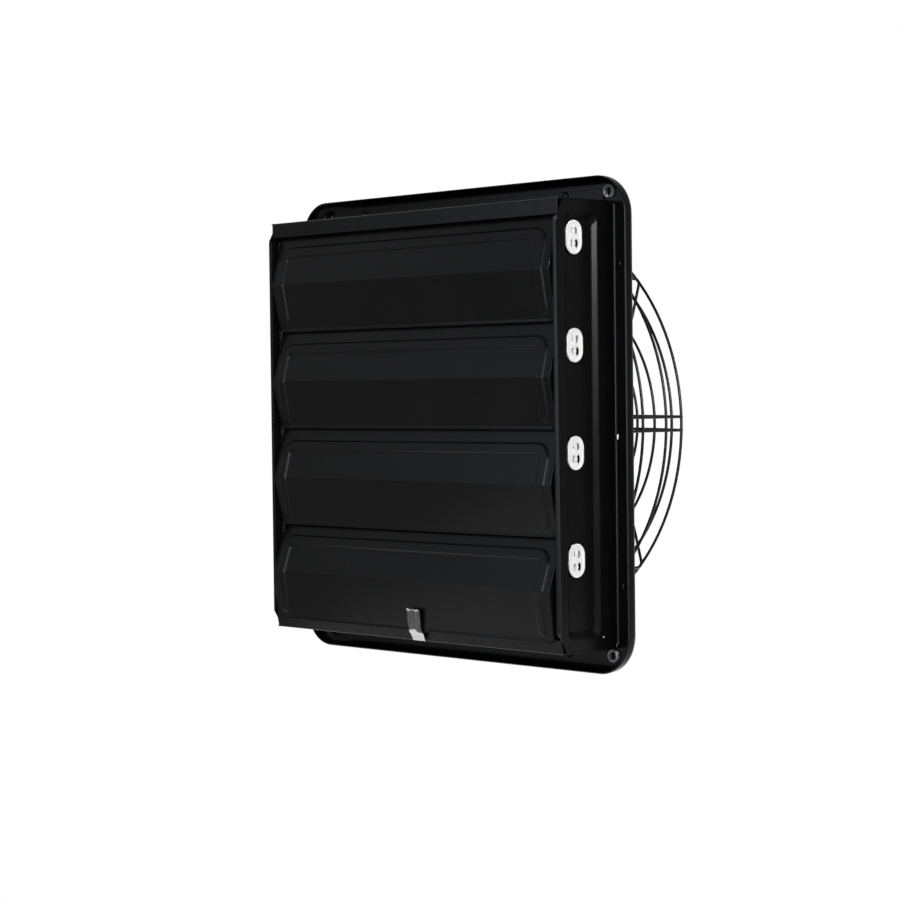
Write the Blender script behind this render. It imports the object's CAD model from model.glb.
"""A square wall exhaust fan: black sheet plate, louver shutter, wire guard, wheel and motor.

Sizes are in millimetres while a piece is being shaped, and in metres once it is finished.
+Z is up, -Y is outdoors through the shutter, and the fan's axis is the Y axis.
"""

import math

import bmesh
import bpy
from mathutils import Matrix, Vector, noise


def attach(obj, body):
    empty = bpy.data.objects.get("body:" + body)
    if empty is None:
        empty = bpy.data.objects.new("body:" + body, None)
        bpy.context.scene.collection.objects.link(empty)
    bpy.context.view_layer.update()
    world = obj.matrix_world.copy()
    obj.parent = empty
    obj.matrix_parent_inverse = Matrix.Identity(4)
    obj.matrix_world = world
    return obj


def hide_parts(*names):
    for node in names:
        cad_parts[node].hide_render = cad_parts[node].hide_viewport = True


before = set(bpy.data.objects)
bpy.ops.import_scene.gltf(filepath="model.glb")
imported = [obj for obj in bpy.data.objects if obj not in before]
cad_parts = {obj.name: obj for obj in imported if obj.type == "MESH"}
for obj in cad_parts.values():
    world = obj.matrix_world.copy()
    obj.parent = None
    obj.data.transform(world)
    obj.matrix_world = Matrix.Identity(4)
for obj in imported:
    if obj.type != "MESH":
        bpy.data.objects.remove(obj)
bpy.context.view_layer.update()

bl_info = {
    "name": "Wall Shutter Exhaust Fan",
    "version": (1, 0, 0),
    "blender": (4, 5, 0),
    "location": "View3D > Sidebar > Exhaust Fan",
    "description": "Shapes and paints the pieces of a wall exhaust fan round its packed frame",
    "category": "Object",
}

MM = 0.001
LOUVERS = 4
WHITE = (1, 1, 1, 1)
TAPE_FOOT = -0.2125  # metres: the height up from which the tape is worn


# Sizes and colours that a user would change


def length(name, description, default):
    """A size, given in millimetres and kept in metres."""
    return bpy.props.FloatProperty(name=name, description=description, default=default * MM, unit="LENGTH")


def colour(name, description, default):
    """A colour, in linear light."""
    prop = bpy.props.FloatVectorProperty
    return prop(name=name, description=description, default=default, subtype="COLOR")


class FanSizes(bpy.types.PropertyGroup):
    bend: length("Sheet bend", "Outer radius of the box's folds", 2.2)
    bead_height: length("Bead height", "How far a louver's bead stands proud", 1.8)
    wire: length("Wire radius", "Radius of the guard's wires", 1.5)
    tape_width: length("Tape width", "Width of the strip on the lowest louver", 19)


class FanColours(bpy.types.PropertyGroup):
    paint: colour("Paint", "Satin black of the sheets", (0.0036, 0.0037, 0.0041))
    ring: colour("Rings", "Grey of the right corner rings", (0.3, 0.305, 0.315))
    nylon: colour("Nylon", "White of the bushings", (0.88, 0.88, 0.86))
    zinc: colour("Zinc", "Plated screws and disc", (0.5, 0.51, 0.53))
    steel: colour("Steel", "Ground shaft and hub", (0.56, 0.57, 0.59))
    aluminium: colour("Aluminium", "Pressed wheel", (0.6, 0.61, 0.63))
    core: colour("Core", "Stacked motor steel", (0.2, 0.2, 0.21))
    plastic: colour("Plastic", "Terminal box", (0.012, 0.012, 0.013))
    tape: colour("Tape", "Silver strip", (0.75, 0.75, 0.75))


# Shader maths


class Value:
    """A shader socket whose arithmetic adds Math nodes."""

    def __init__(self, finish, socket):
        self.finish = finish
        self.socket = socket

    def _math(self, kind, first, second):
        return self.finish.node("ShaderNodeMath", {"operation": kind}, {0: first, 1: second})

    def __add__(self, other):
        return self._math("ADD", self, other)

    __radd__ = __add__

    def __sub__(self, other):
        return self._math("SUBTRACT", self, other)

    def __rsub__(self, other):
        return self._math("SUBTRACT", other, self)

    def __mul__(self, other):
        return self._math("MULTIPLY", self, other)

    __rmul__ = __mul__

    def __pow__(self, other):
        return self._math("POWER", self, other)


class Finish:
    """A material, or the world's surround, under construction."""

    def __init__(self, name, world=False):
        self.owner = bpy.data.worlds.new(name) if world else bpy.data.materials.new(name)
        self.owner.use_nodes = True
        self.tree = self.owner.node_tree
        self.tree.nodes.clear()
        self.output = self.tree.nodes.new("ShaderNodeOutputWorld" if world else "ShaderNodeOutputMaterial")

    def node(self, kind, settings=None, inputs=None, output=0):
        """A new node with its settings and inputs, as the value of one of its outputs."""
        made = self.tree.nodes.new(kind)
        for key, value in (settings or {}).items():
            if key == "stops":
                ramp = made.color_ramp
                while len(ramp.elements) < len(value):
                    ramp.elements.new(0.5)
                for element, (place, shade) in zip(ramp.elements, value):
                    element.position = place
                    element.color = (shade, shade, shade, 1)
            else:
                setattr(made, key, value)
        for key, value in (inputs or {}).items():
            if isinstance(value, Value):
                self.tree.links.new(value.socket, made.inputs[key])
            else:
                made.inputs[key].default_value = value
        return Value(self, made.outputs[output])

    def places(self):
        """Object coordinates."""
        return self.node("ShaderNodeTexCoord", output="Object")

    def grain(self, scale, detail=3.0, stretch=(1, 1, 1)):
        """Noise on object coordinates, from 0 to 1."""
        drawn = self.node("ShaderNodeMapping", {}, {"Vector": self.places(), "Scale": stretch})
        return self.node("ShaderNodeTexNoise", {}, {"Vector": drawn, "Scale": scale, "Detail": detail})

    def between(self, share, low, high):
        """Two colours mixed by a share."""
        low, high = (end if isinstance(end, Value) else (*end, 1) for end in (low, high))
        return self.node("ShaderNodeMix", {"data_type": "RGBA"}, {0: share, 6: low, 7: high}, output=2)

    def bumps(self, height, depth):
        return self.node("ShaderNodeBump", {}, {"Height": height, "Distance": depth})

    def ends_in(self, shader):
        self.tree.links.new(shader.socket, self.output.inputs["Surface"])
        return self.owner

    def surface(self, inputs):
        return self.ends_in(self.node("ShaderNodeBsdfPrincipled", {}, inputs))

    def seen_as(self, lit, seen):
        """One shader for the light that falls on things, another for the camera and for reflections."""
        path = self.tree.nodes.new("ShaderNodeLightPath").outputs
        camera, glossy, through = (
            Value(self, path[ray]) for ray in ("Is Camera Ray", "Is Glossy Ray", "Is Transmission Ray")
        )
        either = self.node("ShaderNodeMath", {"operation": "MAXIMUM"}, {0: camera, 1: glossy})
        share = self.node("ShaderNodeMath", {"operation": "MAXIMUM"}, {0: either, 1: through})
        return self.ends_in(self.node("ShaderNodeMixShader", {}, {0: share, 1: lit, 2: seen}))


def scaled(colour, share):
    return tuple(part * share for part in colour)


def paint_finish(name, colour, rough, specular, peel, peel_depth):
    """Powder paint: a faint orange peel, patches of duller gloss and a little dust in its tone."""
    finish = Finish(name)
    patches = finish.grain(9.0, 4.0)
    speck = finish.grain(2400.0, 2.0)
    stops = [(0.35, 0.0), (0.75, 1.0)]
    tone = finish.node("ShaderNodeValToRGB", {"stops": stops}, {0: patches * 0.6 + speck * 0.4})
    height = finish.grain(peel, 2.0) + speck * 0.35
    return finish.surface(
        {
            "Base Color": finish.between(tone, scaled(colour, 0.8), scaled(colour, 1.35)),
            "Roughness": rough + (patches - 0.5) * 0.12 + (speck - 0.5) * 0.06,
            "Specular IOR Level": specular,
            "Normal": finish.bumps(height, peel_depth),
        }
    )


def nylon_finish(name, colour):
    """Moulded nylon, a little cloudy."""
    finish = Finish(name)
    cloud = finish.grain(160.0, 3.0)
    return finish.surface(
        {
            "Base Color": finish.between(cloud, scaled(colour, 0.94), colour),
            "Roughness": 0.42 + cloud * 0.12,
            "Specular IOR Level": 0.4,
            "Normal": finish.bumps(finish.grain(900.0), 0.00002),
        }
    )


def metal_finish(name, colour, rough, stretch, scale, depth):
    """Bare or plated metal, with a grain drawn out along one way."""
    finish = Finish(name)
    lines = finish.grain(scale, 4.0, stretch)
    cloud = finish.grain(14.0, 3.0)
    return finish.surface(
        {
            "Base Color": finish.between(cloud, scaled(colour, 0.82), scaled(colour, 1.08)),
            "Metallic": 1.0,
            "Roughness": rough + (lines - 0.5) * 0.14 + (cloud - 0.5) * 0.12,
            "Normal": finish.bumps(lines, depth),
        }
    )


def plastic_finish(name, colour):
    """Moulded plastic with a fine spark-eroded grain."""
    finish = Finish(name)
    spark = finish.grain(1500.0, 2.0)
    return finish.surface(
        {
            "Base Color": finish.between(spark, scaled(colour, 0.8), scaled(colour, 1.3)),
            "Roughness": 0.5 + spark * 0.15,
            "Specular IOR Level": 0.35,
            "Normal": finish.bumps(spark, 0.00006),
        }
    )


def tape_finish(name, colour):
    """Crinkled foil, bright at both ends and worn grey in the middle, with darker swirls there."""
    finish = Finish(name)
    creases = finish.grain(260.0, 6.0)
    fold = finish.grain(90.0, 2.0)
    height = finish.node("ShaderNodeSeparateXYZ", {}, {0: finish.places()}, output=2)
    level = (height - TAPE_FOOT) * 40.0 + (fold - 0.5) * 0.5
    stops = [(0.1, 0.0), (0.16, 1.0), (0.9, 1.0), (1.0, 0.1)]
    worn = finish.node("ShaderNodeValToRGB", {"stops": stops}, {0: level})
    swirls = finish.grain(330.0, 1.0)
    grey = finish.between(swirls ** 3.0, scaled(colour, 0.015), scaled(colour, 0.24))
    clean = finish.between(fold ** 2.0, scaled(colour, 0.8), colour)
    return finish.surface(
        {
            "Base Color": finish.between(worn, clean, grey),
            "Metallic": 0.1,
            "Specular IOR Level": 0.15,
            "Roughness": 0.3 + creases * 0.3,
            "Normal": finish.bumps(creases + fold, 0.0005),
        }
    )


def stage_finish():
    """A pale floor that looks white to the camera and in reflections."""
    finish = Finish("pale_floor")
    matt = finish.node("ShaderNodeBsdfPrincipled", {}, {"Base Color": (0.8, 0.8, 0.8, 1), "Roughness": 0.9})
    return finish.seen_as(matt, finish.node("ShaderNodeEmission", {}, {"Color": WHITE, "Strength": 1.0}))


finishes = {}


def finish_for(slot):
    """The material of a slot, made the first time that it is asked for."""
    if slot not in finishes:
        colours = bpy.context.scene.fan_colours
        paint = tuple(colours.paint)
        makers = {
            "black_paint": (paint_finish, paint, 0.27, 0.032, 700.0, 0.00002),
            "black_wire": (paint_finish, scaled(paint, 1.2), 0.36, 0.07, 900.0, 0.00002),
            "motor_paint": (paint_finish, scaled(paint, 4.0), 0.5, 0.3, 420.0, 0.00008),
            "grey_paint": (paint_finish, tuple(colours.ring), 0.5, 0.08, 700.0, 0.00002),
            "zinc_steel": (metal_finish, tuple(colours.zinc), 0.34, (1, 1, 1), 420.0, 0.00002),
            "bright_steel": (metal_finish, tuple(colours.steel), 0.24, (1, 0.02, 1), 900.0, 0.00001),
            "wheel_aluminium": (metal_finish, tuple(colours.aluminium), 0.36, (0.06, 1, 1), 500.0, 0.00002),
            "core_steel": (metal_finish, tuple(colours.core), 0.5, (0.01, 60, 0.01), 40.0, 0.0001),
            "white_nylon": (nylon_finish, tuple(colours.nylon)),
            "black_plastic": (plastic_finish, tuple(colours.plastic)),
            "silver_tape": (tape_finish, tuple(colours.tape)),
        }
        maker, *values = makers[slot]
        finishes[slot] = maker(slot, *values)
    return finishes[slot]


# Sheet work in millimetres


def corners(a0, b0, a1, b1):
    """The corners of a rectangle between two opposite ones, in turn."""
    return (a0, b0), (a1, b0), (a1, b1), (a0, b1)


def new_verts(made):
    return [item for item in made if isinstance(item, bmesh.types.BMVert)]


def face_of(bm, points):
    return bm.faces.new([bm.verts.new(point) for point in points])


def line_of(bm, points, closed=False):
    verts = [bm.verts.new(point) for point in points]
    pairs = list(zip(verts, verts[1:]))
    if closed:
        pairs.append((verts[-1], verts[0]))
    return verts, [bm.edges.new(pair) for pair in pairs]


def edges_where(bm, test):
    return [edge for edge in bm.edges if all(test(vert.co) for vert in edge.verts)]


def rounded(bm, geom, radius, steps, affect):
    bmesh.ops.bevel(
        bm,
        geom=list(geom),
        offset=radius,
        offset_type="OFFSET",
        affect=affect,
        segments=steps,
        profile=0.5,
        material=-1,
    )


def round_edges(bm, edges, radius, steps=4):
    rounded(bm, edges, radius, steps, "EDGES")


def round_corners(bm, verts, radius, steps):
    rounded(bm, verts, radius, steps, "VERTICES")


def extend(bm, edges, change):
    """Draws new edges out of old ones, puts each new point where change says, and returns the new edges."""
    made = bmesh.ops.extrude_edge_only(bm, edges=list(edges))["geom"]
    fresh = set(new_verts(made))
    for vert in fresh:
        vert.co = change(vert.co)
    return [edge for edge in bm.edges if edge.verts[0] in fresh and edge.verts[1] in fresh]


def moved_by(x=0.0, y=0.0, z=0.0):
    return lambda place: place + Vector((x, y, z))


def folds_at(bm, test):
    """The sharp edges of an open sheet whose ends pass a test."""
    return [
        edge
        for edge in edges_where(bm, test)
        if len(edge.link_faces) == 2 and edge.calc_face_angle(0) > math.radians(60)
    ]


def put_in_order(items, place):
    """Sorts a shape's points, edges or faces by where they lie."""
    ranked = sorted(items, key=lambda item: tuple(round(part, 3) for part in place(item)))
    for index, item in enumerate(ranked):
        item.index = index
    items.sort()


def merge(bm, near=0.0005):
    """Merges a shape's doubles, and leaves what it is made of in the same order in each run."""
    bmesh.ops.remove_doubles(bm, verts=bm.verts[:], dist=near)
    put_in_order(bm.verts, lambda vert: vert.co)
    put_in_order(bm.edges, lambda edge: edge.verts[0].co + edge.verts[1].co)
    put_in_order(bm.faces, lambda face: face.calc_center_median())


def thicken(bm, thickness, toward):
    """Turns a sheet's faces towards one side and gives it its thickness behind them."""
    merge(bm)
    bmesh.ops.recalc_face_normals(bm, faces=bm.faces[:])
    facing = sum((face.normal * face.calc_area() for face in bm.faces), Vector())
    if facing.dot(Vector(toward)) < 0:
        bmesh.ops.reverse_faces(bm, faces=bm.faces[:])
    bm.normal_update()
    bmesh.ops.solidify(bm, geom=bm.faces[:], thickness=thickness)
    merge(bm)


def close_out(bm):
    """Merges a closed shape's doubles and points its faces outwards."""
    merge(bm)
    bmesh.ops.recalc_face_normals(bm, faces=bm.faces[:])
    if bm.calc_volume(signed=True) < 0:
        bmesh.ops.reverse_faces(bm, faces=bm.faces[:])


def spin_round(bm, geom, axis, steps):
    """Sweeps a line once round an axis through the origin and closes the shape."""
    bmesh.ops.spin(bm, geom=geom, cent=(0, 0, 0), axis=axis, angle=math.tau, steps=steps, use_merge=True)
    close_out(bm)


def turned(profile, steps=48, axis=(0, 1, 0), centre=(0, 0, 0), closed=True, soft=0.0):
    """A profile of (radius, along) points spun about an axis along Y, X or Z."""
    bm = bmesh.new()
    places = {
        (0, 1, 0): lambda r, a: (r, a, 0),
        (1, 0, 0): lambda r, a: (a, r, 0),
        (0, 0, 1): lambda r, a: (r, 0, a),
    }
    verts, edges = line_of(bm, [places[axis](r, a) for r, a in profile], closed)
    if soft:
        inner = [vert for vert, (r, a) in zip(verts, profile) if r > 0 and len(vert.link_edges) == 2]
        round_corners(bm, inner, soft, 3)
        edges = bm.edges[:]
        verts = bm.verts[:]
    spin_round(bm, verts + edges, axis, steps)
    bmesh.ops.translate(bm, verts=bm.verts[:], vec=centre)
    return bm


def pulled(points, move, soft=0.0, steps=2):
    """A flat outline drawn out into a solid, its edges softened."""
    bm = bmesh.new()
    face = face_of(bm, points)
    made = bmesh.ops.extrude_face_region(bm, geom=[face], use_keep_orig=True)["geom"]
    bmesh.ops.translate(bm, verts=new_verts(made), vec=move)
    close_out(bm)
    if soft:
        sharp = [edge for edge in bm.edges if edge.calc_face_angle(0) > math.radians(40)]
        round_edges(bm, sharp, soft, steps)
        merge(bm)
    return bm


def block(outline, low, high, radius, steps=6):
    """A solid on a rectangle of X and Y from one height to another, its upright edges rounded."""
    bm = pulled([(x, y, low) for x, y in corners(*outline)], (0, 0, high - low))
    upright = [edge for edge in bm.edges if abs(edge.verts[0].co.z - edge.verts[1].co.z) > 1]
    round_edges(bm, upright, radius, steps)
    return bm


def hexagon(radius, y, z=0.0):
    return [(across, y, z + up) for across, up in circle_of(6, radius)]


def mesh_of(bm):
    mesh = bpy.data.meshes.new("part")
    bm.to_mesh(mesh)
    bm.free()
    return mesh


def joined(*parts):
    """Several shapes in one."""
    whole = bmesh.new()
    for part in parts:
        mesh = mesh_of(part)
        whole.from_mesh(mesh)
        bpy.data.meshes.remove(mesh)
    return whole


def copy_of(bm, matrix):
    twin = bm.copy()
    bmesh.ops.transform(twin, matrix=matrix, verts=twin.verts[:])
    if matrix.determinant() < 0:
        bmesh.ops.reverse_faces(twin, faces=twin.faces[:])
    return twin


MIRROR = Matrix.Scale(-1, 4, (1, 0, 0))  # from the right side to the left


def shift(x=0.0, y=0.0, z=0.0):
    return Matrix.Translation((x, y, z))


def turn(degrees, axis):
    return Matrix.Rotation(math.radians(degrees), 4, axis)


def combine(bm, others, operation="DIFFERENCE"):
    """One shape after the others are cut from it or joined to it."""
    objects = []
    for shape in (bm, *others):
        objects.append(bpy.data.objects.new("work", mesh_of(shape)))
        bpy.context.scene.collection.objects.link(objects[-1])
    for tool in objects[1:]:
        step = objects[0].modifiers.new("cut", "BOOLEAN")
        step.operation = operation
        step.solver = "EXACT"
        step.object = tool
    bpy.context.view_layer.update()
    result = bmesh.new()
    result.from_object(objects[0], bpy.context.evaluated_depsgraph_get())
    for item in objects:
        mesh = item.data
        bpy.data.objects.remove(item)
        bpy.data.meshes.remove(mesh)
    merge(result, 0.002)
    bmesh.ops.dissolve_degenerate(result, edges=result.edges[:], dist=0.0005)
    return result


def peg(radius, start, end, x=0.0, z=0.0, steps=32):
    """A plain round solid along Y."""
    profile = [(0, start), (radius, start), (radius, end), (0, end)]
    return turned(profile, steps, closed=False, centre=(x, 0, z))


def drills(radius, places, steps=16, start=5, end=20):
    """Pegs along Y at several places, to be cut out of a sheet."""
    return [peg(radius, start, end, x, z, steps) for x, z in places]


def seats(places, y, twist):
    """Where the screws of a ring or row sit, each turned a little further than the last."""
    return [shift(x=x, y=y, z=z) @ turn(twist * index, "Y") for index, (x, z) in enumerate(places)]


def circle_of(count, radius, start=0.0):
    """Points spread evenly round the fan's axis, from a start in degrees."""
    angles = [math.radians(start + 360 * i / count) for i in range(count)]
    return [(radius * math.cos(angle), radius * math.sin(angle)) for angle in angles]


def place_piece(name, bm, slot, body, nodes=(), sharp=38.0, edge=0.0, crease=None):
    """Ends a piece: metres, smooth faces, crisp edges, its finish, its body and the nodes it stands for."""
    bmesh.ops.transform(bm, matrix=Matrix.Scale(MM, 4), verts=bm.verts[:])
    mesh = bpy.data.meshes.new(name)
    bm.to_mesh(mesh)
    bm.free()
    mesh.shade_smooth()
    mesh.set_sharp_from_angle(angle=math.radians(sharp))
    if crease:
        for line in mesh.edges:
            if all(crease(mesh.vertices[index].co / MM) for index in line.vertices):
                line.use_edge_sharp = True
    piece = bpy.data.objects.new(name, mesh)
    bpy.context.scene.collection.objects.link(piece)
    if edge:
        worn = piece.modifiers.new("soft edges", "BEVEL")
        worn.width = edge * MM
        worn.segments = 2
        worn.limit_method = "ANGLE"
        worn.angle_limit = math.radians(50)
    evened = piece.modifiers.new("even shading", "WEIGHTED_NORMAL")
    evened.keep_sharp = True
    mesh.materials.append(finish_for(slot))
    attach(piece, body)
    if nodes:
        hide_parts(*nodes)
    return piece


def place_copies(prefix, shape, slot, base, places):
    """Pieces of one shape, each named after the numbered node that it stands for."""
    for index, place in enumerate(places):
        node = f"{base}_{index + 1}"
        place_piece(f"{prefix}_{node}", copy_of(shape, place), slot, "fan_frame", [node])
    shape.free()


def repaint(node, slot):
    """A frame node that keeps its shape and gets its finish."""
    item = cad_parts[node]
    item.data.materials.clear()
    item.data.materials.append(finish_for(slot))


# The wall plate

HALF_PLATE = 245.0
PLATE_CORNER = 39.0
PLATE_BEND = 9.0
PLATE_BACK = 15.2
PLATE_SHEET = 1.5
RIM_EDGE = 0.9
MOUTH_RADIUS = 211.0
FLARE = 6.5
THROAT_BACK = 30.0
RINGS = [(x, z) for x in (212.6, -212.6) for z in (229.8, -227.6)]
SPARE_HOLES = [(221.5, -11.7), (-221.5, -11.7)]
GUARD_SCREWS = circle_of(8, 225.2)
SIDE_SCREWS = [(226.15, 158.0), (-226.15, 158.0), (-226.15, -158.0), (226.15, -158.0)]
TOP_SCREWS = [(153.0, 229.1), (-153.0, 229.1), (-153.0, -229.1), (153.0, -229.1)]
SCREW_HOLE = 2.2


def plate_sheet():
    """The tray's outer skin: a rounded square with a bent rim, bridged to the throat, which flares back."""
    bm = bmesh.new()
    outline = corners(-HALF_PLATE, -HALF_PLATE, HALF_PLATE, HALF_PLATE)
    face_of(bm, [(x, PLATE_BACK, z) for x, z in outline])
    round_corners(bm, bm.verts[:], PLATE_CORNER, 14)
    back_line = bm.edges[:]
    front_line = extend(bm, back_line, moved_by(y=RIM_EDGE - PLATE_BACK))
    inward = 1 - RIM_EDGE / HALF_PLATE
    extend(bm, front_line, lambda p: Vector((p.x * inward, 0, p.z * inward)))
    round_edges(bm, [edge for edge in back_line if edge.is_valid], PLATE_BEND, 8)
    flat = max(bm.faces, key=lambda face: face.calc_area())
    rim = list(flat.edges)
    bmesh.ops.delete(bm, geom=[flat], context="FACES_ONLY")
    lying = Matrix.Translation((0, PLATE_BACK, 0)) @ turn(90, "X")
    ring = set(bmesh.ops.create_circle(bm, segments=len(rim), radius=MOUTH_RADIUS, matrix=lying)["verts"])
    mouth = [edge for edge in bm.edges if edge.verts[0] in ring and edge.verts[1] in ring]
    bmesh.ops.bridge_loops(bm, edges=rim + mouth)
    for step in range(1, 6):
        angle = math.radians(90 * step / 5)
        radius = MOUTH_RADIUS - FLARE * math.sin(angle)
        depth = PLATE_BACK + FLARE * (1 - math.cos(angle))
        level = Vector((0, depth, 0))
        mouth = extend(bm, mouth, lambda p: Vector((p.x, 0, p.z)).normalized() * radius + level)
    extend(bm, mouth, lambda p: Vector((p.x, THROAT_BACK, p.z)))
    thicken(bm, PLATE_SHEET, (0, 1, 0))
    return bm


def boss_ring():
    """A corner hole's rounded ring, standing forward of the plate."""
    profile = [(4.5, 14.9), (4.5, 11.6), (4.9, 10.8), (5.4, 10.4), (5.9, 10.35), (6.4, 10.7), (6.75, 11.6)]
    profile += [(6.9, 12.8), (6.9, 14.9)]
    return turned(profile, 48)


def boss_dish():
    """The dark dish inside a ring, with a small nub at its middle."""
    profile = [(0, 13.7), (0.7, 13.8), (1.3, 14.3), (5.2, 14.4), (5.2, 15.1), (0, 15.1)]
    return turned(profile, 32, closed=False)


class FAN_OT_plate(bpy.types.Operator):
    """Makes the wall plate with its throat, holes and raised rings"""

    bl_idname = "fan.plate"
    bl_label = "Wall plate"

    def execute(self, context):
        tools = drills(6.3, RINGS, 32) + drills(4.2, SPARE_HOLES, 24)
        tools += drills(SCREW_HOLE, GUARD_SCREWS + SIDE_SCREWS + TOP_SCREWS)
        plate = combine(plate_sheet(), tools)
        dishes = [copy_of(boss_dish(), shift(x=x, z=z)) for x, z in RINGS]
        place_piece("plate", joined(plate, *dishes), "black_paint", "fan_frame", ["wall_plate"], edge=0.6)
        for name, side, slot in (("right", 1, "grey_paint"), ("left", -1, "black_paint")):
            rings = [copy_of(boss_ring(), shift(x=x, z=z)) for x, z in RINGS if x * side > 0]
            place_piece(f"corner_rings_{name}", joined(*rings), slot, "fan_frame")
        return {"FINISHED"}


# The shutter box

BOX_SIDE = 218.65
BOX_TOP = 220.0
BOX_SHEET = 1.2
NOSE = -69.3
FLANGE_FRONT = 12.2
LIP_FACE = -65.5
LIP_END = 217.15
TOP_FLANGE_END = 205.0
PIVOT_Y = -43.3
STUD_GAP = 12.0
PIVOTS = [188.5 - 104.25 * i for i in range(LOUVERS)]


def side_sheet(bend):
    """The right side: wall with a pressed panel, a folded front return and a mitred rear flange."""
    bm = bmesh.new()
    wall = [
        (NOSE, -200.5),
        (NOSE + 10, -218.5),
        (FLANGE_FRONT, -218.5),
        (FLANGE_FRONT, 218.5),
        (NOSE + 10, 218.5),
        (NOSE, 200.5),
    ]
    face_of(bm, [(BOX_SIDE, y, z) for y, z in wall])
    wall_loop = bm.edges[:]
    panel = face_of(bm, [(BOX_SIDE, y, z) for y, z in corners(-56, -206, -11.1, 206)])
    round_corners(bm, panel.verts[:], 7.0, 6)
    panel_loop = [edge for edge in bm.edges if edge not in wall_loop]
    bmesh.ops.delete(bm, geom=bm.faces[:], context="FACES_ONLY")
    bmesh.ops.bridge_loops(bm, edges=wall_loop + panel_loop)

    def pressed(place):
        share_y = (place.y + 33.55) / 22.45
        share_z = place.z / 206.0
        return Vector((BOX_SIDE - 3.0, -36.05 + 18.55 * share_y, 200.0 * share_z))

    floor_loop = extend(bm, panel_loop, pressed)
    bmesh.ops.contextual_create(bm, geom=floor_loop)
    round_edges(bm, [edge for edge in panel_loop + floor_loop if edge.is_valid], 1.1, 3)

    front = edges_where(bm, lambda p: abs(p.y - NOSE) < 0.01 and abs(p.x - BOX_SIDE) < 0.01)
    lip = extend(bm, front, moved_by(x=-4.6))
    extend(bm, lip, moved_by(y=8.0))
    back = edges_where(bm, lambda p: abs(p.y - FLANGE_FRONT) < 0.01 and abs(p.x - BOX_SIDE) < 0.01)
    extend(bm, back, lambda p: Vector((p.x + 15.0, p.y, math.copysign(abs(p.z) - 15.0, p.z))))
    bm.normal_update()
    round_edges(bm, folds_at(bm, lambda p: p.x > BOX_SIDE - 0.1 and p.y < -60), 1.55 * bend, 1)
    round_edges(bm, folds_at(bm, lambda p: p.x < BOX_SIDE - 4.5 and p.y < -60), 0.25 * bend, 3)
    round_edges(bm, folds_at(bm, lambda p: p.y > 10), 1.2 * bend, 6)
    thicken(bm, BOX_SHEET, (1, -0.3, 0))
    return bm


def cap_sheet(bend, lip_height, lean=0.0):
    """The top: front lip, wall and rear flange. The lip's free edge leans forward of its fold."""
    bm = bmesh.new()
    fold_y = LIP_FACE + lean
    face_of(bm, [(x, y, BOX_TOP) for x, y in corners(-BOX_SIDE, fold_y, BOX_SIDE, FLANGE_FRONT)])
    for x in (-TOP_FLANGE_END, TOP_FLANGE_END, -LIP_END, LIP_END):
        whole = bm.faces[:] + bm.edges[:] + bm.verts[:]
        bmesh.ops.bisect_plane(bm, geom=whole, plane_co=(x, 0, 0), plane_no=(1, 0, 0))
    front = edges_where(bm, lambda p: abs(p.y - fold_y) < 0.01 and abs(p.x) < LIP_END + 0.05)
    extend(bm, front, moved_by(y=-lean, z=-lip_height))
    back = edges_where(bm, lambda p: abs(p.y - FLANGE_FRONT) < 0.01 and abs(p.x) < TOP_FLANGE_END + 0.1)
    extend(bm, back, moved_by(z=13.0))
    bm.normal_update()
    round_edges(bm, folds_at(bm, lambda p: True), bend, 5)
    thicken(bm, BOX_SHEET, (0, -0.3, 1))
    return bm


def finished_side(fold):
    """The right side with its pivot windows, screw holes and the dark tabs behind the windows."""
    tools = drills(2.7, SPARE_HOLES[:1], 24)
    tools += drills(SCREW_HOLE, [(x, z) for x, z in SIDE_SCREWS if x > 0])
    tabs = []
    for height in PIVOTS:
        centre = shift(y=PIVOT_Y, z=height - STUD_GAP / 2)
        tools.append(copy_of(obround(12.2, 35.8, 214.9, 220), centre))
        tools.append(copy_of(obround(10.2, 31.6, 206, 220), centre))
        tab = pulled([(213.2, y, z) for y, z in corners(1.3, -13.0, 10.4, 0.4)], (0.8, 0, 0))
        tabs.append(copy_of(tab, centre))
    return joined(combine(side_sheet(fold), tools), *tabs)


def finished_cap(*sizes):
    return combine(cap_sheet(*sizes), drills(SCREW_HOLE, TOP_SCREWS[:2]))


class FAN_OT_box(bpy.types.Operator):
    """Makes the four sheets of the shutter box"""

    bl_idname = "fan.box"
    bl_label = "Shutter box"

    def execute(self, context):
        bend = context.scene.fan_sizes.bend / MM
        tight = 0.25 * bend
        side = finished_side(bend)
        left = copy_of(finished_side(tight), MIRROR)
        rivet = [(0, 218.2), (0.7, 218.2), (0.7, 218.8), (0.5, 219.0), (0, 219.1)]
        rivet = turned(rivet, 16, (1, 0, 0), (0, -7.5, -206.8), closed=False)
        rivets = joined(copy_of(rivet, MIRROR), rivet)
        place_piece("side_rivets", rivets, "zinc_steel", "fan_frame")
        place_piece("box_side_right", side, "black_paint", "fan_frame", ["side_sheet_right"])
        place_piece("box_side_left", left, "black_paint", "fan_frame", ["side_sheet_left"])
        top = finished_cap(bend, 15.8)
        sill = copy_of(finished_cap(tight, 13.0, 2.5), turn(180, "Y"))
        place_piece("box_top", top, "black_paint", "fan_frame", ["top_sheet"], edge=0.58)
        place_piece("box_bottom", sill, "black_paint", "fan_frame", ["bottom_sheet"], edge=0.4)
        return {"FINISHED"}


# Louvers

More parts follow.
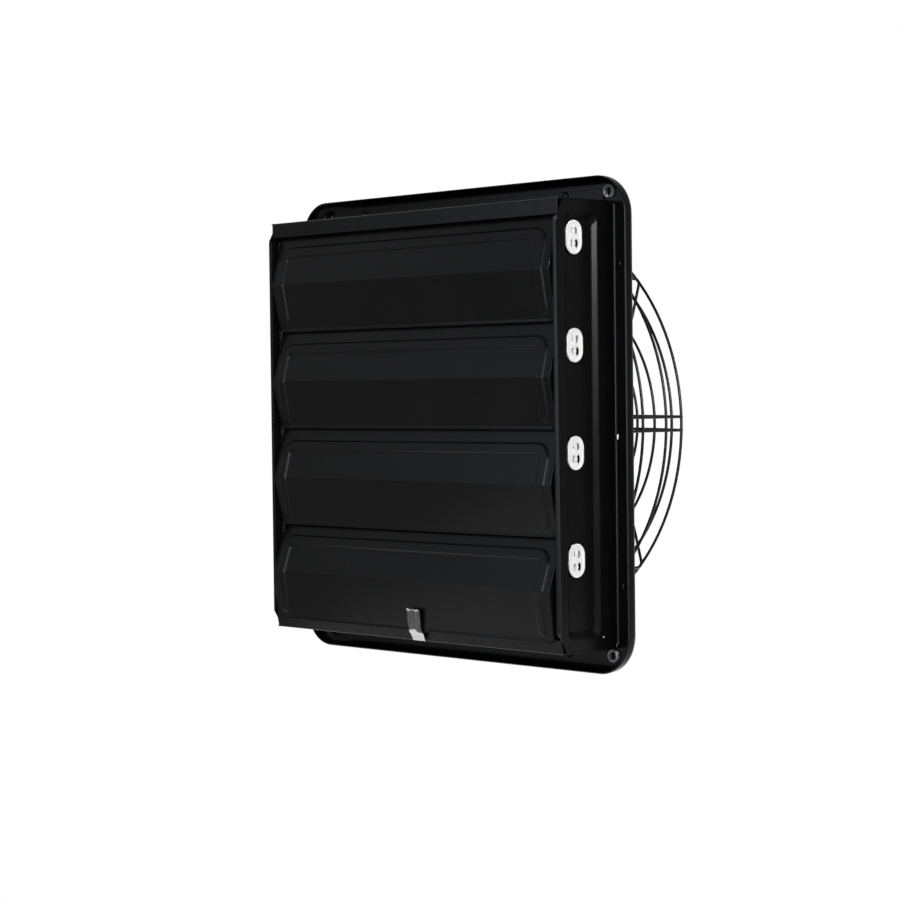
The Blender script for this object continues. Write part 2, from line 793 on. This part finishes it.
LOUVER_HALF = 210.7
LOUVER_SHEET = 1.0
SECTION_TOP = Vector((-13.4, 22.5))
SECTION_RIDGE = Vector((-28.7, -36.4875))
SECTION_FOOT = Vector((-18.7, -87.5))
UPPER_RUN = (SECTION_RIDGE - SECTION_TOP).length
LOWER_RUN = (SECTION_FOOT - SECTION_RIDGE).length
WHOLE_RUN = UPPER_RUN + LOWER_RUN
FOOT_CUT = 5.0
LOWEST_LEAN = 4.5


def clamped(share):
    return min(max(share, 0.0), 1.0)


def spaced(*stretches):
    """Marks along a line, from (start, end, step) stretches."""
    marks = []
    for start, end, step in stretches:
        count = max(1, round((end - start) / step))
        marks += [start + (end - start) * i / count for i in range(count)]
    return marks + [stretches[-1][1]]


def section_place(along):
    """A point of the louver's section and its outward normal, at a distance down from the upper edge."""
    upper = (SECTION_RIDGE - SECTION_TOP).normalized()
    lower = (SECTION_FOOT - SECTION_RIDGE).normalized()
    if along <= UPPER_RUN:
        place = SECTION_TOP + upper * along
    else:
        place = SECTION_RIDGE + lower * (along - UPPER_RUN)
    share = clamped(along - UPPER_RUN + 0.5)
    way = upper.lerp(lower, share).normalized()
    return place, Vector((way.y, -way.x))


def bead_rise(x, along, height):
    """How high the bead stands: a hooped line with round corners and round ends."""
    x = abs(x)
    centre_x = LOUVER_HALF - 13.9
    centre_top = 25.0
    corner = 10.5
    low_end = WHOLE_RUN - 13.5
    dx = x - (centre_x - corner)
    dy = (centre_top + corner) - along
    if dx > 0 and dy > 0:
        away = abs(math.hypot(dx, dy) - corner)
    elif dx > 0:
        away = math.hypot(x - centre_x, max(0.0, along - low_end))
    else:
        away = abs(along - centre_top)
        if along > centre_top + corner:
            away = centre_x - x
    share = clamped((6.3 - away) / 2.4)
    return height * share * share * (3 - 2 * share)


def louver_sheet(height):
    """A flat sheet's grid folded along the ridge, with the bead pressed out of it."""
    half_marks = spaced((0, 170, 42), (170, 178, 4), (178, 204.4, 0.8), (204.4, LOUVER_HALF, 2.1))
    marks_x = [-mark for mark in reversed(half_marks[1:])] + half_marks
    marks_s = spaced(
        (0, 17, 4.2),
        (17, 38, 0.8),
        (38, UPPER_RUN - 3, 4),
        (UPPER_RUN - 3, UPPER_RUN + 3, 0.6),
        (UPPER_RUN + 3, WHOLE_RUN - 17, 5),
        (WHOLE_RUN - 17, WHOLE_RUN - 7, 0.8),
        (WHOLE_RUN - 7, WHOLE_RUN, 1.4),
    )
    bm = bmesh.new()
    bmesh.ops.create_grid(bm, x_segments=len(marks_x) - 1, y_segments=len(marks_s) - 1, size=0.5)
    for vert in bm.verts:
        x = marks_x[round((vert.co.x + 0.5) * (len(marks_x) - 1))]
        along = marks_s[round((vert.co.y + 0.5) * (len(marks_s) - 1))]
        place, normal = section_place(along)
        cut = max(0.0, FOOT_CUT - (WHOLE_RUN - along))
        if abs(x) > 200 and cut > 0:
            x = math.copysign(200 + (abs(x) - 200) * (LOUVER_HALF - cut - 200) / (LOUVER_HALF - 200), x)
        place = place + normal * bead_rise(x, along, height)
        vert.co = Vector((x, place.x, place.y))

    def at_end(place):
        return abs(abs(place.x) - LOUVER_HALF) < 0.01

    def back_of(place):
        reach = 5.0 + 4.0 * math.sin(math.pi * clamped((SECTION_TOP.y - place.z) / 110.0))
        return place + Vector((0, reach, 0))

    extend(bm, edges_where(bm, at_end), back_of)
    bm.normal_update()
    round_edges(bm, folds_at(bm, at_end), 1.1, 3)
    thicken(bm, LOUVER_SHEET, (0, -1, 0))
    return bm


def louver_hem():
    """The foot's hem: the sheet rolled forward on itself."""
    half = LOUVER_HALF - FOOT_CUT
    roll = [(1, 0), (1, 3.4), (0.2, 4), (-0.6, 3.8), (-1, 3.1), (-1.25, 1.1), (-0.9, 0.25), (-0.2, 0)]
    return pulled([(-half, SECTION_FOOT.x + y, SECTION_FOOT.y + z) for y, z in roll], (2 * half, 0, 0))


def louver_end():
    """The pin at a louver's right end, with the disc and the plate that carry it."""
    disc = turned([(0, 207.6), (8, 207.6), (8, 208.7), (0, 208.7)], 32, (1, 0, 0), closed=False)
    pin = [(0, 208), (2.8, 208), (2.8, 216.3), (2.5, 216.6), (0, 216.6)]
    plate = ((-28, -32), (-19, -34), (-1, 0), (-1, 10), (-14, 20))
    return joined(
        disc,
        turned(pin, 24, (1, 0, 0), closed=False),
        pulled([(207.7, y, z) for y, z in plate], (0.95, 0, 0)),
    )


def louver_parts(height, lean):
    end = louver_end()
    whole = joined(louver_sheet(height), louver_hem(), copy_of(end, MIRROR), end)
    return copy_of(whole, turn(-lean, "X"))


def louver_ear(lean):
    """The ear behind a louver and the pin on it that takes the tie bar."""
    tip = Vector((2.0, 24.0))
    back = Matrix.Rotation(math.radians(-lean), 2)
    roots = [back @ Vector((-13.0, 22.2)), back @ Vector((-16.6, 8.5))]
    outline = [(10.5, root.x, root.y) for root in roots]
    for i in range(9):
        angle = math.radians(-60 + 170 * i / 8)
        outline.append((10.5, tip.x + 3.8 * math.cos(angle), tip.y + 3.8 * math.sin(angle)))
    ear = pulled(outline, (1.5, 0, 0), 0.2)
    pin = [(0, 11), (1.6, 11), (1.6, 14.2), (2.8, 14.2), (2.8, 14.6), (2.1, 15.1), (0, 15.1)]
    return joined(ear, turned(pin, 20, (1, 0, 0), (0, tip.x, tip.y), closed=False))


class FAN_OT_louvers(bpy.types.Operator):
    """Makes the four louvers, the lowest leaning a little open, and the tie bar's finish"""

    bl_idname = "fan.louvers"
    bl_label = "Louvers"

    def execute(self, context):
        height = context.scene.fan_sizes.bead_height / MM
        for index, pivot in enumerate(PIVOTS):
            lean = LOWEST_LEAN if index == LOUVERS - 1 else 0.0
            whole = joined(louver_parts(height, lean), louver_ear(lean))
            bmesh.ops.translate(whole, verts=whole.verts[:], vec=(0, PIVOT_Y, pivot))
            name = f"louver_{index + 1}"
            ridge = turn(-lean, "X") @ Vector((0, SECTION_RIDGE.x, SECTION_RIDGE.y))
            ridge += Vector((0, PIVOT_Y, pivot))

            def on_ridge(place):
                return math.hypot(place.y - ridge.y, place.z - ridge.z) < 0.1

            place_piece(f"shutter_{name}", whole, "black_paint", name, [name], sharp=30.0, crease=on_ridge)
        repaint("tie_bar", "zinc_steel")
        return {"FINISHED"}


# Bushings


def obround(half_width, height, start, end, soft=0.0):
    """A plate with round ends in Y and Z, drawn out along X."""
    bm = bmesh.new()
    half = height / 2
    face_of(bm, [(start, y, z) for y, z in corners(-half_width, -half, half_width, half)])
    round_corners(bm, bm.verts[:], half_width * 0.9995, 12)
    merge(bm, 0.02)
    made = bmesh.ops.extrude_face_region(bm, geom=bm.faces[:], use_keep_orig=True)["geom"]
    bmesh.ops.translate(bm, verts=new_verts(made), vec=(end - start, 0, 0))
    close_out(bm)
    if soft:
        round_edges(bm, [edge for edge in bm.edges if edge.calc_face_angle(0) > 1.0], soft, 3)
    return bm


def arc_slot(up, side, start, wide):
    """A curved slot round a stud, from a depth out through the face."""
    ring = turned([(2.3, start), (wide, start), (wide, 219), (2.3, 219)], 48, axis=(1, 0, 0))
    wedge = [(start - 1, 0.0, 0.0)]
    for turn_by in (-54, -18, 18, 54):
        angle = math.radians(side + turn_by)
        wedge.append((start - 1, 9 * math.cos(angle), 9 * math.sin(angle)))
    arc = combine(ring, [pulled(wedge, (220 - start, 0, 0))], "INTERSECT")
    bmesh.ops.translate(arc, verts=arc.verts[:], vec=(0, 0, up))
    return arc


def bushing_shape():
    """A snap-in bushing for the right side: rimmed face and two studs with arc slots, one right through."""
    body = combine(obround(10.9, 33.0, 217.3, 218.25, 0.3), [obround(9.4, 30.0, 215.45, 217.6)], "UNION")
    cuts = [obround(9.3, 29.6, 217.65, 219.5, 0.25)]
    slots = ((6, 180, 216.4, 4.8), (6, 0, 217, 5.0), (-6, 180, 217, 5.0), (-6, 0, 215, 5.8))
    cuts += [arc_slot(*slot) for slot in slots]
    for start, pocket in (
        (214.0, corners(0.8, -13.0, 8.6, -0.4)),
        (215.7, corners(0.8, 0.8, 8.6, 12.0)),
        (215.7, corners(-7.5, -11.5, -0.8, -1.0)),
    ):
        cuts.append(pulled([(start, y, z) for y, z in pocket], (217.2 - start, 0, 0)))
    face = combine(body, cuts)
    stud = turned([(4.3, 210.45), (5.1, 210.45), (5.2, 215.7), (4.3, 215.7)], 32, axis=(1, 0, 0))
    upper = copy_of(stud, shift(z=STUD_GAP / 2))
    behind = pulled([(209, y, z) for y, z in corners(-9, -9, 1, 9)], (8, 0, 0))
    lower = copy_of(combine(stud, [behind], "INTERSECT"), shift(z=-STUD_GAP / 2))
    return joined(face, upper, lower)


class FAN_OT_bushings(bpy.types.Operator):
    """Makes the eight white pivot bushings"""

    bl_idname = "fan.bushings"
    bl_label = "Bushings"

    def execute(self, context):
        centres = [shift(y=PIVOT_Y, z=pivot - STUD_GAP / 2) for pivot in PIVOTS]
        right = bushing_shape()
        left = copy_of(right, MIRROR)
        place_copies("nylon", right, "white_nylon", "bushing_right", centres)
        place_copies("nylon", left, "white_nylon", "bushing_left", centres)
        return {"FINISHED"}


# Screws


def pan_screw():
    """A pan head with a cross recess, its seat at y = 0."""
    head = [(0, -2.4), (1.6, -2.36), (2.8, -2.0), (3.6, -1.3), (4.0, -0.3), (4.0, 0), (1.9, 0), (1.9, 3.0)]
    cross = [
        pulled([(x, -2.9, z) for x, z in corners(-across, -up, across, up)], (0, 1.9, 0))
        for across, up in ((2.1, 0.42), (0.42, 2.1))
    ]
    return combine(turned(head + [(0, 3.0)], 32, closed=False), cross)


def hex_screw():
    """A hex head on a broad washer flange, its seat at y = 0 and its head towards +Y."""
    flange = turned([(0, 0), (7.3, 0), (7.4, 0.35), (6.9, 0.8), (4.2, 1.2), (0, 1.2)], 40, closed=False)
    head = pulled(hexagon(3.9, 0.6), (0, 3.0, 0), 0.25)
    return joined(flange, head, peg(1.9, -4.9, 0.5, steps=16))


class FAN_OT_screws(bpy.types.Operator):
    """Makes the screws of the box and of the guard"""

    bl_idname = "fan.screws"
    bl_label = "Screws"

    def execute(self, context):
        flange = seats(SIDE_SCREWS + TOP_SCREWS, 11.9, 23)
        place_copies("pan", pan_screw(), "black_paint", "flange_screw", flange)
        place_copies("hex", hex_screw(), "zinc_steel", "guard_screw", seats(GUARD_SCREWS, 18.8, 17))
        return {"FINISHED"}


# Wire guard

GUARD_RADIUS = 214.4
GUARD_RINGS = (189.0, 146.0, 107.0, 74.0)
SPOKES = [(54.0, 181.17), (107.47, 165.73), (160.93, 143.42), (GUARD_RADIUS, 114.2)]
EYE_RADIUS = 6.8
EYE_CENTRE = GUARD_RADIUS + 10.8


def guard_depth(radius):
    """How deep the guard's rings lie at a radius: straight runs between the spokes' bends."""
    for (r0, y0), (r1, y1) in zip(SPOKES, SPOKES[1:]):
        if radius <= r1:
            share = (radius - r0) / (r1 - r0)
            return y0 + (y1 - y0) * share
    return SPOKES[-1][1]


def wire_ring(radius, depth, wire):
    bm = bmesh.new()
    bmesh.ops.create_circle(bm, segments=10, radius=wire, matrix=shift(x=radius, y=depth))
    spin_round(bm, bm.verts[:] + bm.edges[:], (0, 1, 0), 112)
    return bm


def eased(points, reach, steps=5):
    """A line's points with each corner rounded off over a reach."""
    out = [points[0]]
    for before, corner, after in zip(points, points[1:], points[2:]):
        a = corner + (before - corner).normalized() * min(reach, (before - corner).length * 0.49)
        b = corner + (after - corner).normalized() * min(reach, (after - corner).length * 0.49)
        for i in range(steps + 1):
            t = i / steps
            out.append(a.lerp(corner, t).lerp(corner.lerp(b, t), t))
    return out + [points[-1]]


def bent_wire(points, wire):
    """A round wire along a line of points."""
    curve = bpy.data.curves.new("wire", "CURVE")
    curve.dimensions = "3D"
    curve.bevel_depth = wire
    curve.bevel_resolution = 3
    curve.use_fill_caps = True
    spline = curve.splines.new("POLY")
    spline.points.add(len(points) - 1)
    for item, place in zip(spline.points, points):
        item.co = (*place, 1)
    holder = bpy.data.objects.new("wire", curve)
    bpy.context.scene.collection.objects.link(holder)
    bpy.context.view_layer.update()
    mesh = bpy.data.meshes.new_from_object(holder)
    bm = bmesh.new()
    bm.from_mesh(mesh)
    bpy.data.objects.remove(holder)
    bpy.data.curves.remove(curve)
    bpy.data.meshes.remove(mesh)
    close_out(bm)
    return bm


def hairpin(wire):
    """An eye on the plate, two legs up the guard's side and two spokes over its back."""
    lift = 2 * wire - 0.5
    base = PLATE_BACK + 0.3 + wire
    leg = [Vector((38.0, SPOKES[0][1] + lift, 0))]
    leg += [Vector((r, y + lift, 0)) for r, y in SPOKES[:3]]
    leg += [
        Vector((GUARD_RADIUS + lift, SPOKES[3][1] + lift * 0.6, 0)),
        Vector((GUARD_RADIUS + lift, base, 0)),
        Vector((EYE_CENTRE, base, 0)),
    ]
    near = eased(leg, 11.0)[:-1]
    down = Vector((0, 0, -EYE_RADIUS))
    eye = []
    for i in range(13):
        around = Matrix.Rotation(math.radians(-15 * i), 3, "Y")
        eye.append(Vector((EYE_CENTRE, base, 0)) + around @ down)
    return bent_wire([p + down for p in near] + eye + [p - down for p in reversed(near)], wire)


class FAN_OT_guard(bpy.types.Operator):
    """Makes the wire guard from its rings and hairpins"""

    bl_idname = "fan.guard"
    bl_label = "Wire guard"

    def execute(self, context):
        wire = context.scene.fan_sizes.wire / MM
        rings = [(GUARD_RADIUS, 56.7), (GUARD_RADIUS, 91.2), (GUARD_RADIUS, SPOKES[3][1])]
        rings += [(radius, guard_depth(radius)) for radius in GUARD_RINGS]
        parts = [wire_ring(radius, depth, wire) for radius, depth in rings]
        pin = hairpin(wire)
        parts += [copy_of(pin, turn(45 * index, "Y")) for index in range(8)]
        pin.free()
        place_piece("guard_wires", joined(*parts), "black_wire", "fan_frame", ["wire_guard"], sharp=60.0)
        return {"FINISHED"}


# Motor and terminal box

SHELL_FRONT = 103.6
SHELL_BACK = 161.6
BOLTS = circle_of(4, 36, start=45)
BOLT_HOLE = 2.7
CAP_GAP = 0.3
TRAY = (-22.9, 112.7, 22.9, 152.5)
TRAY_CORNER = 4.0
GLAND_HEIGHT = 70.3


def motor_shell():
    """A drawn steel tube with two rolled grooves."""
    outer = [(58.0, SHELL_FRONT)]
    groove = ((58.0, -2.2), (57.2, -1.2), (57.0, 0.0), (57.2, 1.2), (58.0, 2.2))
    for middle in (SHELL_FRONT + 9, SHELL_BACK - 9):
        outer += [(radius, middle + y) for radius, y in groove]
    outer.append((58.0, SHELL_BACK))
    inner = [(56.4, SHELL_BACK), (56.4, SHELL_FRONT)]
    return turned(outer + inner, 72)


def motor_cap(bolts):
    """A domed end cap with cooling slots, its rim at y = 0."""
    outside = [(5.6, 17.0), (17.5, 17.0), (19.5, 15.9), (22.0, 15.9), (24.0, 17.0), (42.0, 17.0)]
    outside += [(46.5, 15.9), (50.5, 12.6), (54.5, 9.0), (57.0, 6.6), (58.0, 4.6), (58.0, 0.0)]
    inside = [(55.0, 0.0), (55.0, 4.6), (52.0, 8.2), (47.0, 12.4), (43.0, 14.0), (16.3, 14.0)]
    inside += [(16.3, 5.0), (13.3, 5.0), (13.3, 14.0), (5.6, 14.0)]
    slot = copy_of(obround(2.5, 12.0, 0, 30), shift(z=29.0) @ turn(90, "Z"))
    slots = [copy_of(slot, turn(60 * index + 30, "Y")) for index in range(6)]
    return combine(turned(outside + inside, 72), slots + drills(BOLT_HOLE, bolts, start=12))


def mount_disc():
    disc = turned([(12.4, 178.95), (50.0, 178.95), (50.0, 181.85), (12.4, 181.85)], 72, soft=0.6)
    return combine(disc, drills(BOLT_HOLE, BOLTS, start=170, end=190))


def hex_bolt():
    return joined(pulled(hexagon(4.6, 0.0), (0, 3.3, 0), 0.35), peg(2.3, -6.5, 1.0, steps=20))


def terminal_tray():
    """An open box of moulded plastic with softened walls."""
    body = block(TRAY, 58.35, 82.25, TRAY_CORNER)
    hollow = block((-21, 114.6, 21, 150.6), 60.4, 100.4, 2.6, 5)
    return combine(body, [hollow, peg(4.4, 145, 160, 0, GLAND_HEIGHT, 24)])


def terminal_lid():
    """The lid, with four sunk screws."""
    body = block(TRAY, 82.65, 84.55, TRAY_CORNER)
    round_edges(body, [edge for edge in body.edges if min(vert.co.z for vert in edge.verts) > 84.5], 0.6, 3)
    sink = [(0, 83.6), (2.4, 83.6), (2.6, 86), (0, 86)]
    places = [(x, y, 0) for x in (-18.0, 18.0) for y in (117.5, 147.7)]
    return combine(body, [turned(sink, 24, (0, 0, 1), place, closed=False) for place in places])


def gland():
    """A cable gland: hex foot, ribbed dome nut and open mouth."""
    nut = pulled(hexagon(7.4, 152.95, GLAND_HEIGHT), (0, 5.4, 0), 0.4)
    dome = [(4.0, 155), (6.4, 155), (6.4, 163.5), (6.1, 165.4), (5.4, 167.2), (4.4, 168.7), (4.0, 168.7)]
    bored = combine(nut, [peg(4.0, 150, 175, 0, GLAND_HEIGHT, 24)])
    return joined(bored, turned(dome, 36, centre=(0, 0, GLAND_HEIGHT)))


def bearing(front):
    """Two races and what lies between them."""
    rings = [
        turned([(5.15, 0), (7.4, 0), (7.4, 9), (5.15, 9)], 48, soft=0.3),
        turned([(10.6, 0), (12.9, 0), (12.9, 9), (10.6, 9)], 48, soft=0.3),
        turned([(7.2, 0.9), (10.8, 0.9), (10.8, 8.1), (7.2, 8.1)], 48),
    ]
    return copy_of(joined(*rings), shift(y=front))


class FAN_OT_motor(bpy.types.Operator):
    """Makes the motor's case, its disc and bolts and the terminal box"""

    bl_idname = "fan.motor"
    bl_label = "Motor"

    def execute(self, context):
        back = copy_of(motor_cap(BOLTS), shift(y=SHELL_BACK + CAP_GAP))
        front = copy_of(motor_cap([]), shift(y=SHELL_FRONT - CAP_GAP) @ turn(180, "X"))
        for name, shape, slot, node in (
            ("motor_tube", motor_shell(), "motor_paint", "motor_shell"),
            ("motor_cap_back", back, "motor_paint", "motor_back_cap"),
            ("motor_cap_front", front, "motor_paint", "motor_front_cap"),
            ("motor_disc", mount_disc(), "zinc_steel", "motor_mount_disc"),
            ("ball_front_bearing", bearing(89.9), "bright_steel", "front_bearing"),
            ("ball_back_bearing", bearing(166.3), "bright_steel", "back_bearing"),
            ("junction_tray", terminal_tray(), "black_plastic", "terminal_box"),
            ("junction_lid", terminal_lid(), "black_plastic", "terminal_cover"),
            ("cord_gland", gland(), "black_plastic", "cable_gland"),
        ):
            place_piece(name, shape, slot, "fan_frame", [node])
        place_copies("hex", hex_bolt(), "zinc_steel", "mount_bolt", seats(BOLTS, 182.2, 31))
        repaint("stator_core", "core_steel")
        return {"FINISHED"}


# Fan wheel

WHEEL_PLANE = 46.0
BLADES = 5
BLADE_ROOT = 44.0
BLADE_LENGTH = 152.0
RIVET_CIRCLE = 40.0


def blade_sheet():
    """A twisted, cambered blade: a grid mapped onto the blade's surface, then thickened."""
    bm = bmesh.new()
    bmesh.ops.create_grid(bm, x_segments=20, y_segments=26, size=0.5)
    for vert in bm.verts:
        along = vert.co.x
        share = vert.co.y + 0.5
        radius = BLADE_ROOT + BLADE_LENGTH * share
        trim = max(0.0, (share - 0.9) / 0.1)
        chord = (68.0 + 48.0 * math.sqrt(share)) * (1 - 0.09 * trim * trim)
        pitch = math.radians(36.0 - 15.0 * share)
        bulge = 5.0 * (1 - 4 * along * along) + 0.8
        around = along * chord * math.cos(pitch) - bulge * math.sin(pitch)
        depth = along * chord * math.sin(pitch) + bulge * math.cos(pitch)
        angle = math.radians(12.0) * share + around / radius
        vert.co = Vector((radius * math.cos(angle), WHEEL_PLANE + depth + 0.8, radius * math.sin(angle)))
    thicken(bm, 1.5, (0, 1, 0))
    return bm


def wheel_hub():
    """The hub: a barrel with a flange on the blades' disc, bored across for its set screw."""
    outside = [(5.3, 36.4), (11.6, 36.4), (14.2, 37.6), (15.0, 39.0), (15.0, 49.5), (25.0, 49.5)]
    outside += [(25.0, 52.7), (15.0, 52.7), (15.0, 60.4), (5.3, 60.4)]
    bore = copy_of(peg(2.8, 5, 40, steps=20), shift(y=55.4) @ turn(90, "X"))
    return combine(turned(outside, 56, soft=0.4), [bore])


class FAN_OT_wheel(bpy.types.Operator):
    """Makes the fan wheel, its hub and the shaft"""

    bl_idname = "fan.wheel"
    bl_label = "Fan wheel"

    def execute(self, context):
        parts = [turned([(15.3, 46.0), (52.0, 46.0), (52.0, 49.2), (15.3, 49.2)], 72, soft=0.7)]
        blade = blade_sheet()
        parts += [copy_of(blade, turn(360 / BLADES * (index + 0.5), "Y")) for index in range(BLADES)]
        rivet = turned([(0, 49.0), (3.4, 49.0), (3.4, 49.6), (2.4, 50.9), (0, 51.3)], 20, closed=False)
        parts += [copy_of(rivet, shift(x=x, z=z)) for x, z in circle_of(3 * BLADES, RIVET_CIRCLE, start=12)]
        blade.free()
        rivet.free()
        place_piece("wheel_blades", joined(*parts), "wheel_aluminium", "fan_rotor", ["fan_wheel"])
        place_piece("wheel_hub", wheel_hub(), "bright_steel", "fan_rotor", ["fan_hub"])
        shaft = turned([(0, 31.4), (4.0, 31.4), (5.0, 32.4), (5.0, 178.2), (0, 178.2)], 40, closed=False)
        place_piece("wheel_shaft", shaft, "bright_steel", "fan_rotor", ["motor_shaft"])
        repaint("rotor_core", "core_steel")
        repaint("hub_set_screw", "zinc_steel")
        return {"FINISHED"}


# Tape

TAPE_LINE = [
    Vector(place)
    for place in (
        (16.2, -75.4, -187.0),
        (14.4, -71.6, -206.2),
        (15.6, -70.9, -211.3),
        (14.2, -67.9, -213.2),
        (13.4, -66.1, -216.0),
        (14.3, -65.9, -219.6),
    )
]


class FAN_OT_tape(bpy.types.Operator):
    """Makes the crinkled strip of tape over the lowest louver's hem"""

    bl_idname = "fan.tape"
    bl_label = "Tape"

    def execute(self, context):
        width = context.scene.fan_sizes.tape_width / MM
        lengths = [(b - a).length for a, b in zip(TAPE_LINE, TAPE_LINE[1:])]
        bm = bmesh.new()
        bmesh.ops.create_grid(bm, x_segments=22, y_segments=44, size=0.5)
        for vert in bm.verts:
            across = vert.co.x * width
            along = (vert.co.y + 0.5) * sum(lengths)
            rest = along
            for a, b, run in zip(TAPE_LINE, TAPE_LINE[1:], lengths):
                if rest <= run or b is TAPE_LINE[-1]:
                    place = a.lerp(b, rest / run)
                    break
                rest -= run
            seed = Vector((across * 0.35, along * 0.35, 1.7))
            out = 0.25 + 0.9 * (abs(noise.noise(seed)) + 0.5 * abs(noise.noise(seed * 2.3)))
            ragged = 1.6 * noise.noise(Vector((across * 0.5, 4.0, 0))) * (vert.co.y * 2) ** 4
            side = across + 0.8 * noise.noise(seed * 0.7)
            vert.co = place + Vector((side, -out, ragged))
        thicken(bm, 0.12, (0, -1, 0))
        place_piece("tape_strip", bm, "silver_tape", "louver_4", sharp=25.0)
        return {"FINISHED"}


# Stage, lights and camera


def add_lamp(name, place, target, size, strength, tint=(1, 1, 1)):
    """A soft lamp whose strength is the light it lays on the target, in units of pi."""
    data = bpy.data.lights.new(name, "AREA")
    data.shape = "RECTANGLE"
    data.size, data.size_y = size
    place, target = Vector(place), Vector(target)
    data.energy = strength * math.pi * math.pi * (place - target).length_squared
    data.color = tint
    lamp = bpy.data.objects.new(name, data)
    lamp.location = place
    lamp.rotation_euler = (target - place).to_track_quat("-Z", "Y").to_euler()
    bpy.context.scene.collection.objects.link(lamp)
    return lamp


def add_reflector(name, place, size, glow, tint=(1, 1, 1), target=(0, 0, 0)):
    """A white card that is only seen in reflections, its glow in units of the background's white."""
    lamp = add_lamp(name, place, target, size, 1.0, tint)
    lamp.data.energy = glow * math.pi * size[0] * size[1]
    lamp.visible_diffuse = False
    lamp.visible_camera = False
    return lamp


CAMERA_TURNS = (47.015, 1.358, -0.634)
CAMERA_AWAY = 2.4879
CAMERA_SHIFT = (-0.00449, -0.02624)
FOCAL_SHARE = 2379.97 / 900
SENSOR = 36.0
SURROUND_LIGHT = 0.35
FLOOR_HEIGHT = -1.3
COOL = (0.88, 0.93, 1.0)


def set_camera():
    """The photograph's view: nearly level, from the right front."""
    turn_by, tilt, roll = (math.radians(angle) for angle in CAMERA_TURNS)
    back = Vector((math.sin(turn_by) * math.cos(tilt), -math.cos(turn_by) * math.cos(tilt), math.sin(tilt)))
    right = Vector((math.cos(turn_by), math.sin(turn_by), 0))
    up = back.cross(right)
    right_rolled = math.cos(roll) * right + math.sin(roll) * up
    up_rolled = -math.sin(roll) * right + math.cos(roll) * up
    data = bpy.data.cameras.new("camera")
    data.sensor_width = SENSOR
    data.lens = FOCAL_SHARE * SENSOR
    camera = bpy.data.objects.new("camera", data)
    axes = Matrix((right_rolled, up_rolled, back)).transposed().to_4x4()
    place = back * CAMERA_AWAY + right_rolled * CAMERA_SHIFT[0] + up_rolled * CAMERA_SHIFT[1]
    camera.matrix_world = Matrix.Translation(place) @ axes
    bpy.context.scene.collection.objects.link(camera)
    bpy.context.scene.camera = camera


def set_world():
    """A white surround for the camera and for reflections, a dim one for the light that falls on things."""
    surround = Finish("surround", world=True)
    dim, white = (
        surround.node("ShaderNodeBackground", {}, {"Color": WHITE, "Strength": strength})
        for strength in (SURROUND_LIGHT, 1.0)
    )
    bpy.context.scene.world = surround.seen_as(dim, white)


class FAN_OT_stage(bpy.types.Operator):
    """Makes the floor, the lights, the surround and the camera"""

    bl_idname = "fan.stage"
    bl_label = "Stage"

    def execute(self, context):
        bm = bmesh.new()
        bmesh.ops.create_grid(bm, x_segments=1, y_segments=1, size=6.0, matrix=shift(z=FLOOR_HEIGHT))
        mesh = bpy.data.meshes.new("floor")
        bm.to_mesh(mesh)
        bm.free()
        mesh.materials.append(stage_finish())
        floor = bpy.data.objects.new("floor", mesh)
        context.scene.collection.objects.link(floor)
        set_world()
        for name, place, size, strength in (
            ("key", (1.2, -1.5, 1.8), (0.8, 0.8), 0.5),
            ("fill_right", (2.2, 0.1, 0.4), (1.0, 1.0), 0.26),
            ("back_left", (-1.2, 1.9, 0.9), (0.9, 0.9), 0.4),
        ):
            add_lamp(name, place, (0, 0, 0), size, strength).visible_glossy = False
        add_reflector("card_right", (2.0, -0.21, 0.6), (0.45, 0.45), 235.0)
        add_reflector("card_front", (1.42, -2.18, 0.3), (2.2, 1.4), 27.0, COOL)
        add_reflector("card_upper_left", (-1.3, -1.35, 0.85), (1.0, 0.8), 0.9, COOL)
        add_reflector("card_left_front", (-1.06, -1.57, 0.32), (0.5, 0.9), 6.0, COOL)
        add_reflector("card_lower_left", (-1.3, -1.2, -0.8), (0.9, 0.5), 0.3)
        add_reflector("card_table", (0.16, -0.05, -0.28), (1.25, 1.06), 2.5, target=(0.15, -0.05, 0.0))
        add_reflector("card_back", (-1.2, 1.9, 0.9), (0.9, 0.9), 6.0)
        set_camera()
        context.scene.view_settings.view_transform = "Standard"
        return {"FINISHED"}


class FAN_PT_pieces(bpy.types.Panel):
    """Lists the pieces and the values that shape them"""

    bl_idname = "FAN_PT_pieces"
    bl_label = "Exhaust fan"
    bl_space_type = "VIEW_3D"
    bl_region_type = "UI"
    bl_category = "Exhaust Fan"

    def draw(self, context):
        for group in (context.scene.fan_sizes, context.scene.fan_colours):
            box = self.layout.box()
            for name in group.__annotations__:
                box.prop(group, name)
        for piece in PIECES:
            self.layout.operator(piece.bl_idname)


PIECES = (
    FAN_OT_plate,
    FAN_OT_box,
    FAN_OT_louvers,
    FAN_OT_bushings,
    FAN_OT_screws,
    FAN_OT_guard,
    FAN_OT_motor,
    FAN_OT_wheel,
    FAN_OT_tape,
    FAN_OT_stage,
)
CLASSES = (FanSizes, FanColours, *PIECES, FAN_PT_pieces)


def register():
    for item in CLASSES:
        bpy.utils.register_class(item)
    bpy.types.Scene.fan_sizes = bpy.props.PointerProperty(type=FanSizes)
    bpy.types.Scene.fan_colours = bpy.props.PointerProperty(type=FanColours)


def unregister():
    del bpy.types.Scene.fan_sizes
    del bpy.types.Scene.fan_colours
    for item in reversed(CLASSES):
        bpy.utils.unregister_class(item)


def main():
    register()
    for piece in PIECES:
        group, name = piece.bl_idname.split(".")
        getattr(getattr(bpy.ops, group), name)()


if __name__ == "__main__":
    main()
